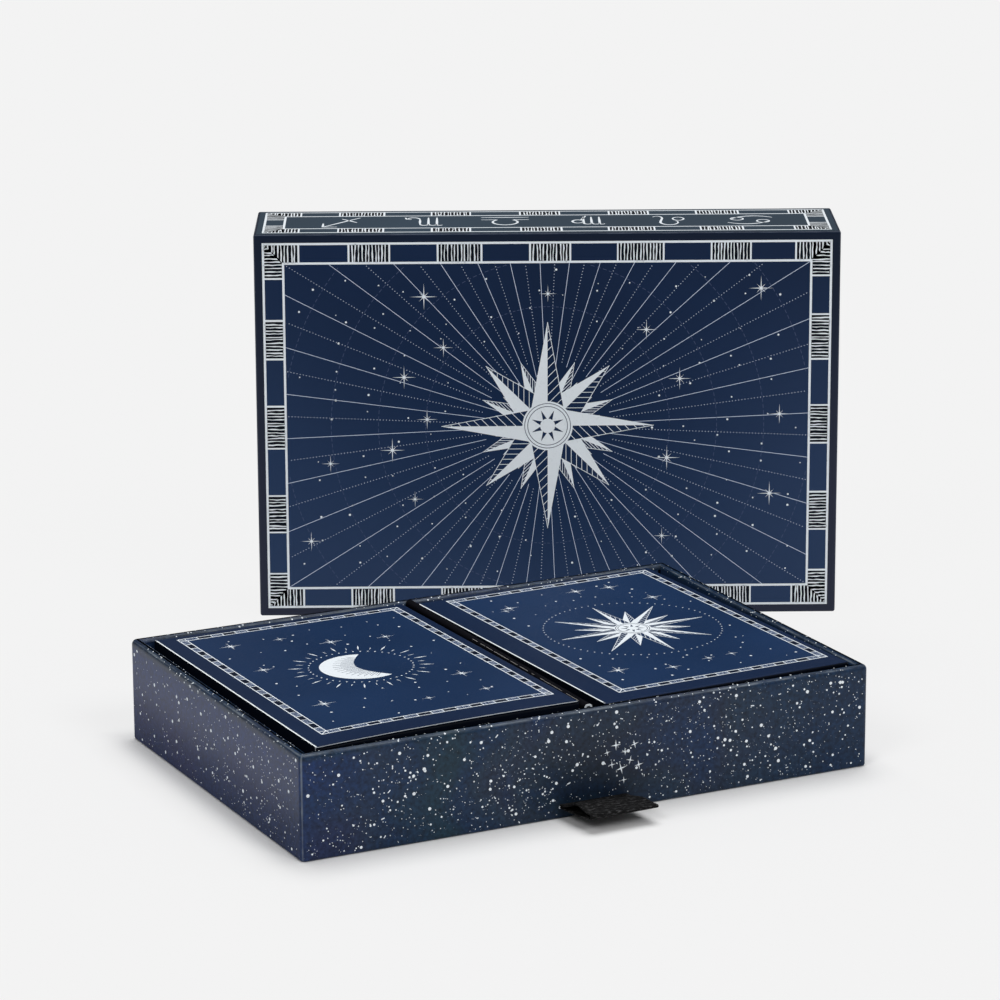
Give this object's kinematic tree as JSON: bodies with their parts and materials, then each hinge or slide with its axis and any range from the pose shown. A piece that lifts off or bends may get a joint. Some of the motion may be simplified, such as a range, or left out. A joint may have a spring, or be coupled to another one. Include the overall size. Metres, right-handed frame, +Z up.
{
  "type": "playing card deck set",
  "caption": "Boxed playing card set: a wrapped drawer tray holds two tuck-boxed decks side by side, with a ribbon pull, and its slipcase sleeve stands behind.",
  "frame": {"origin": "centre of the tray's underside, on the surface that the set stands on", "axes": "+Z up, +X along the sleeve's width, +Y from the tray towards the sleeve that stands behind it"},
  "size_m": [0.1732, 0.216, 0.0998],
  "materials": {
    "grey_board": "matte",
    "navy_wrap": "matte",
    "starry_wrap": "matte",
    "black_lining": "matte",
    "black_ribbon": "matte",
    "navy_card": "satin",
    "white_card": "satin"
  },
  "bodies": {
    "tray": {"tray_base_board": "grey_board", "tray_front_board": "grey_board", "tray_back_board": "grey_board", "tray_left_board": "grey_board", "tray_right_board": "grey_board", "tray_wrap": "starry_wrap", "tray_base_paper": "navy_wrap", "tray_lining": "black_lining", "deck_insert": "black_lining", "pull_tab_tail": "black_ribbon"},
    "sleeve": {"sleeve_face_board": "grey_board", "sleeve_back_board": "grey_board", "sleeve_spine_board": "grey_board", "sleeve_left_board": "grey_board", "sleeve_right_board": "grey_board", "sleeve_wrap": "navy_wrap", "sleeve_mouth_hems": "navy_wrap", "sleeve_lining": "black_lining"},
    "left_deck": {"left_box_shell": "navy_card", "left_box_lid": "navy_card", "left_box_dust_flaps": "white_card", "left_cards": "white_card"},
    "right_deck": {"right_box_shell": "navy_card", "right_box_lid": "navy_card", "right_box_dust_flaps": "white_card", "right_cards": "white_card"},
    "pull_tab": {"pull_tab": "black_ribbon"}
  },
  "joints": [
    {"name": "sleeve_tip", "type": "hinge", "parent": "tray", "child": "sleeve", "pos_m": [0.0147, 0.14176, 0], "axis": [-1, 0, 0], "range_deg": [0, 90]},
    {"name": "left_deck_lift", "type": "slide", "parent": "tray", "child": "left_deck", "axis": [0, 0, 1], "range_m": [0, 0.06]},
    {"name": "right_deck_lift", "type": "slide", "parent": "tray", "child": "right_deck", "axis": [0, 0, 1], "range_m": [0, 0.06]},
    {"name": "pull_tab_flex", "type": "hinge", "parent": "tray", "child": "pull_tab", "pos_m": [0.02157, -0.04423, 0.0034], "axis": [-0.8988, -0.4384, 0], "range_deg": [0, 70]}
  ]
}
